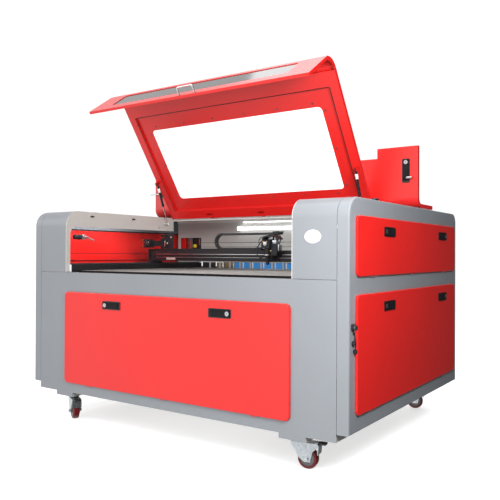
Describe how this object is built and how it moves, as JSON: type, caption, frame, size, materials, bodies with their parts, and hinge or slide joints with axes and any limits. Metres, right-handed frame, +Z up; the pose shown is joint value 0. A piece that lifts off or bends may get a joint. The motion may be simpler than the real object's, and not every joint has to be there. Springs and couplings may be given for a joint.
{
  "type": "laser engraver",
  "caption": "Free-standing gantry laser engraver: raised front-hinged lid over a slatted bed, moving beam and head, hinged covers and doors, on swivel casters.",
  "frame": {"origin": "on the floor, under the middle of the bounding box", "axes": "+X to the right seen from the front, +Y to the rear, +Z up"},
  "size_m": [1.886, 1.393, 1.7284],
  "materials": {
    "gray_shell": "fine textured gray powder coat",
    "red_panel": "smooth red powder coat",
    "column_gray": "gray powder coat outside, warm light primer on the inner wall",
    "frame_dark": "dark gray frame enamel",
    "bay_gray": "light gray enamel inside the bay",
    "bed_alloy": "bare aluminium slats and bars",
    "rail_steel": "ground steel rail",
    "beam_black": "black anodised beam",
    "head_black": "black anodised head with bright brackets",
    "nozzle_brass": "satin brass nozzle",
    "chain_plastic": "black nylon chain",
    "tube_glass": "clear laser tube glass",
    "mount_plastic": "moulded tube cradles",
    "lamp_white": "white lamp tube",
    "steel_box": "plain metal housings",
    "panel_black": "glossy black control face",
    "port_black": "black sockets and caps",
    "window_clear": "tinted acrylic sheet",
    "handle_chrome": "polished pull",
    "screw_steel": "steel screws",
    "strut_black": "black strut cylinder",
    "strut_chrome": "chromed strut rod",
    "latch_black": "black latch handle with a bright lock",
    "fork_zinc": "zinc plated fork",
    "tyre_red": "dark red wheel",
    "button_black": "black button cap"
  },
  "bodies": {
    "cabinet": {"base_frame": "frame_dark", "front_panel": "gray_shell", "side_shell_left": "gray_shell", "side_shell_right": "gray_shell", "column_left": "column_gray", "column_right": "column_gray", "rear_panel": "gray_shell", "bay_rear_wall": "bay_gray", "rear_deck": "gray_shell", "bay_floor": "bay_gray", "blade_table": "bed_alloy", "debris_tray": "bay_gray", "y_rails": "rail_steel", "laser_tube": "tube_glass", "tube_mounts": "mount_plastic", "bay_lamp": "lamp_white", "electronics": "steel_box", "control_panel": "panel_black", "data_ports": "port_black"},
    "lid": {"lid_shell": "red_panel", "lid_windows": "window_clear", "lid_handle": "handle_chrome", "lid_screws": "screw_steel"},
    "rear_cover": {"rear_cover": "red_panel"},
    "front_door": {"front_door": "red_panel"},
    "stop_button": {"stop_button": "button_black"},
    "gantry": {"gantry_beam": "beam_black", "chain_lower": "chain_plastic"},
    "laser_head": {"laser_head": "head_black", "chain_run": "chain_plastic"},
    "focus_nozzle": {"focus_nozzle": "nozzle_brass"},
    "chain_bend": {"chain_bend": "chain_plastic"},
    "strut_cylinder_left": {"strut_cylinder_left": "strut_black"},
    "strut_rod_left": {"strut_rod_left": "strut_chrome"},
    "cover_latch_left": {"cover_latch_left": "latch_black"},
    "front_latch_left": {"front_latch_left": "latch_black"},
    "strut_cylinder_right": {"strut_cylinder_right": "strut_black"},
    "strut_rod_right": {"strut_rod_right": "strut_chrome"},
    "cover_latch_right": {"cover_latch_right": "latch_black"},
    "front_latch_right": {"front_latch_right": "latch_black"},
    "side_door_upper_left": {"side_door_upper_left": "red_panel"},
    "latch_upper_front_left": {"latch_upper_front_left": "latch_black"},
    "latch_upper_rear_left": {"latch_upper_rear_left": "latch_black"},
    "side_door_lower_left": {"side_door_lower_left": "red_panel"},
    "latch_lower_front_left": {"latch_lower_front_left": "latch_black"},
    "latch_lower_rear_left": {"latch_lower_rear_left": "latch_black"},
    "caster_fork_front_left": {"caster_fork_front_left": "fork_zinc"},
    "caster_wheel_front_left": {"caster_wheel_front_left": "tyre_red"},
    "caster_fork_rear_left": {"caster_fork_rear_left": "fork_zinc"},
    "caster_wheel_rear_left": {"caster_wheel_rear_left": "tyre_red"},
    "side_door_upper_right": {"side_door_upper_right": "red_panel"},
    "latch_upper_front_right": {"latch_upper_front_right": "latch_black"},
    "latch_upper_rear_right": {"latch_upper_rear_right": "latch_black"},
    "side_door_lower_right": {"side_door_lower_right": "red_panel"},
    "latch_lower_front_right": {"latch_lower_front_right": "latch_black"},
    "latch_lower_rear_right": {"latch_lower_rear_right": "latch_black"},
    "caster_fork_front_right": {"caster_fork_front_right": "fork_zinc"},
    "caster_wheel_front_right": {"caster_wheel_front_right": "tyre_red"},
    "caster_fork_rear_right": {"caster_fork_rear_right": "fork_zinc"},
    "caster_wheel_rear_right": {"caster_wheel_rear_right": "tyre_red"}
  },
  "joints": [
    {"name": "lid_hinge", "type": "hinge", "parent": "cabinet", "child": "lid", "pos_m": [0, 0.1485, 1.069], "axis": [1, 0, 0], "range_deg": [0, 55.5]},
    {"name": "strut_pivot_left", "type": "hinge", "parent": "lid", "child": "strut_cylinder_left", "pos_m": [-0.645, -0.02781, 1.26816], "axis": [1, 0, 0], "range_deg": [0, 12.47]},
    {"name": "strut_slide_left", "type": "slide", "parent": "strut_cylinder_left", "child": "strut_rod_left", "axis": [0, -0.3681, 0.9298], "range_m": [0, 0.07097]},
    {"name": "cover_latch_hinge_left", "type": "hinge", "parent": "rear_cover", "child": "cover_latch_left", "pos_m": [-0.812, 0.1989, 1.226], "axis": [1, 0, 0], "range_deg": [0, 40]},
    {"name": "front_latch_hinge_left", "type": "hinge", "parent": "front_door", "child": "front_latch_left", "pos_m": [-0.282, -0.6921, 0.601], "axis": [0, 0, 1], "range_deg": [0, 40]},
    {"name": "strut_pivot_right", "type": "hinge", "parent": "lid", "child": "strut_cylinder_right", "pos_m": [0.645, -0.02781, 1.26816], "axis": [1, 0, 0], "range_deg": [0, 12.47]},
    {"name": "strut_slide_right", "type": "slide", "parent": "strut_cylinder_right", "child": "strut_rod_right", "axis": [0, -0.3681, 0.9298], "range_m": [0, 0.07097]},
    {"name": "cover_latch_hinge_right", "type": "hinge", "parent": "rear_cover", "child": "cover_latch_right", "pos_m": [0.812, 0.1989, 1.226], "axis": [1, 0, 0], "range_deg": [0, 40]},
    {"name": "front_latch_hinge_right", "type": "hinge", "parent": "front_door", "child": "front_latch_right", "pos_m": [0.282, -0.6921, 0.601], "axis": [0, 0, -1], "range_deg": [0, 40]},
    {"name": "cover_hinge", "type": "hinge", "parent": "cabinet", "child": "rear_cover", "pos_m": [0, 0.4265, 1.081], "axis": [-1, 0, 0], "range_deg": [0, 180]},
    {"name": "front_door_hinge", "type": "hinge", "parent": "cabinet", "child": "front_door", "pos_m": [0, -0.6835, 0.1891], "axis": [1, 0, 0], "range_deg": [0, 90]},
    {"name": "side_door_upper_left_hinge", "type": "hinge", "parent": "cabinet", "child": "side_door_upper_left", "pos_m": [-0.93, -0.0145, 0.7656], "axis": [0, -1, 0], "range_deg": [0, 90]},
    {"name": "latch_upper_front_left_hinge", "type": "hinge", "parent": "side_door_upper_left", "child": "latch_upper_front_left", "pos_m": [-0.9386, -0.2665, 0.948], "axis": [0, 0, -1], "range_deg": [0, 40]},
    {"name": "latch_upper_rear_left_hinge", "type": "hinge", "parent": "side_door_upper_left", "child": "latch_upper_rear_left", "pos_m": [-0.9386, 0.3365, 0.948], "axis": [0, 0, 1], "range_deg": [0, 40]},
    {"name": "side_door_lower_left_hinge", "type": "hinge", "parent": "cabinet", "child": "side_door_lower_left", "pos_m": [-0.93, -0.0145, 0.2356], "axis": [0, -1, 0], "range_deg": [0, 90]},
    {"name": "latch_lower_front_left_hinge", "type": "hinge", "parent": "side_door_lower_left", "child": "latch_lower_front_left", "pos_m": [-0.9386, -0.2665, 0.641], "axis": [0, 0, -1], "range_deg": [0, 40]},
    {"name": "latch_lower_rear_left_hinge", "type": "hinge", "parent": "side_door_lower_left", "child": "latch_lower_rear_left", "pos_m": [-0.9386, 0.3365, 0.641], "axis": [0, 0, 1], "range_deg": [0, 40]},
    {"name": "caster_swivel_front_left", "type": "hinge", "parent": "cabinet", "child": "caster_fork_front_left", "pos_m": [-0.68, -0.6185, 0.11], "axis": [0, 0, 1], "continuous": true},
    {"name": "caster_roll_front_left", "type": "hinge", "parent": "caster_fork_front_left", "child": "caster_wheel_front_left", "pos_m": [-0.64709, -0.6375, 0.042], "axis": [0.5, 0.866, 0], "continuous": true},
    {"name": "caster_swivel_rear_left", "type": "hinge", "parent": "cabinet", "child": "caster_fork_rear_left", "pos_m": [-0.68, 0.5915, 0.11], "axis": [0, 0, 1], "continuous": true},
    {"name": "caster_roll_rear_left", "type": "hinge", "parent": "caster_fork_rear_left", "child": "caster_wheel_rear_left", "pos_m": [-0.64429, 0.6045, 0.042], "axis": [-0.342, 0.9397, 0], "continuous": true},
    {"name": "side_door_upper_right_hinge", "type": "hinge", "parent": "cabinet", "child": "side_door_upper_right", "pos_m": [0.93, -0.0145, 0.7656], "axis": [0, 1, 0], "range_deg": [0, 90]},
    {"name": "latch_upper_front_right_hinge", "type": "hinge", "parent": "side_door_upper_right", "child": "latch_upper_front_right", "pos_m": [0.9386, -0.2665, 0.948], "axis": [0, 0, 1], "range_deg": [0, 40]},
    {"name": "latch_upper_rear_right_hinge", "type": "hinge", "parent": "side_door_upper_right", "child": "latch_upper_rear_right", "pos_m": [0.9386, 0.3365, 0.948], "axis": [0, 0, -1], "range_deg": [0, 40]},
    {"name": "side_door_lower_right_hinge", "type": "hinge", "parent": "cabinet", "child": "side_door_lower_right", "pos_m": [0.93, -0.0145, 0.2356], "axis": [0, 1, 0], "range_deg": [0, 90]},
    {"name": "latch_lower_front_right_hinge", "type": "hinge", "parent": "side_door_lower_right", "child": "latch_lower_front_right", "pos_m": [0.9386, -0.2665, 0.641], "axis": [0, 0, 1], "range_deg": [0, 40]},
    {"name": "latch_lower_rear_right_hinge", "type": "hinge", "parent": "side_door_lower_right", "child": "latch_lower_rear_right", "pos_m": [0.9386, 0.3365, 0.641], "axis": [0, 0, -1], "range_deg": [0, 40]},
    {"name": "caster_swivel_front_right", "type": "hinge", "parent": "cabinet", "child": "caster_fork_front_right", "pos_m": [0.68, -0.6185, 0.11], "axis": [0, 0, 1], "continuous": true},
    {"name": "caster_roll_front_right", "type": "hinge", "parent": "caster_fork_front_right", "child": "caster_wheel_front_right", "pos_m": [0.71742, -0.6119, 0.042], "axis": [-0.1736, 0.9848, 0], "continuous": true},
    {"name": "caster_swivel_rear_right", "type": "hinge", "parent": "cabinet", "child": "caster_fork_rear_right", "pos_m": [0.68, 0.5915, 0.11], "axis": [0, 0, 1], "continuous": true},
    {"name": "caster_roll_rear_right", "type": "hinge", "parent": "caster_fork_rear_right", "child": "caster_wheel_rear_right", "pos_m": [0.71571, 0.6045, 0.042], "axis": [-0.342, 0.9397, 0], "continuous": true},
    {"name": "gantry_slide", "type": "slide", "parent": "cabinet", "child": "gantry", "axis": [0, 1, 0], "range_m": [-0.51, 0.385]},
    {"name": "head_slide", "type": "slide", "parent": "gantry", "child": "laser_head", "axis": [1, 0, 0], "range_m": [-0.785, 0.443], "deforming": ["chain_run"]},
    {"name": "focus_slide", "type": "slide", "parent": "laser_head", "child": "focus_nozzle", "axis": [0, 0, 1], "range_m": [-0.02, 0.01]},
    {"name": "chain_slide", "type": "slide", "parent": "gantry", "child": "chain_bend", "axis": [1, 0, 0], "range_m": [-0.394, 0.223], "deforming": ["chain_lower"]},
    {"name": "stop_button_press", "type": "slide", "parent": "cabinet", "child": "stop_button", "axis": [0, 0, -1], "range_m": [0, 0.004], "stiffness_N_per_m": 800}
  ],
  "couplings": [
    {"joint": "strut_pivot_left", "follows": "lid_hinge", "ratio": 0.22383},
    {"joint": "strut_slide_left", "follows": "lid_hinge", "m_per_rad": 0.073055},
    {"joint": "strut_pivot_right", "follows": "lid_hinge", "ratio": 0.22383},
    {"joint": "strut_slide_right", "follows": "lid_hinge", "m_per_rad": 0.073055},
    {"joint": "chain_slide", "follows": "head_slide", "ratio": 0.5}
  ]
}
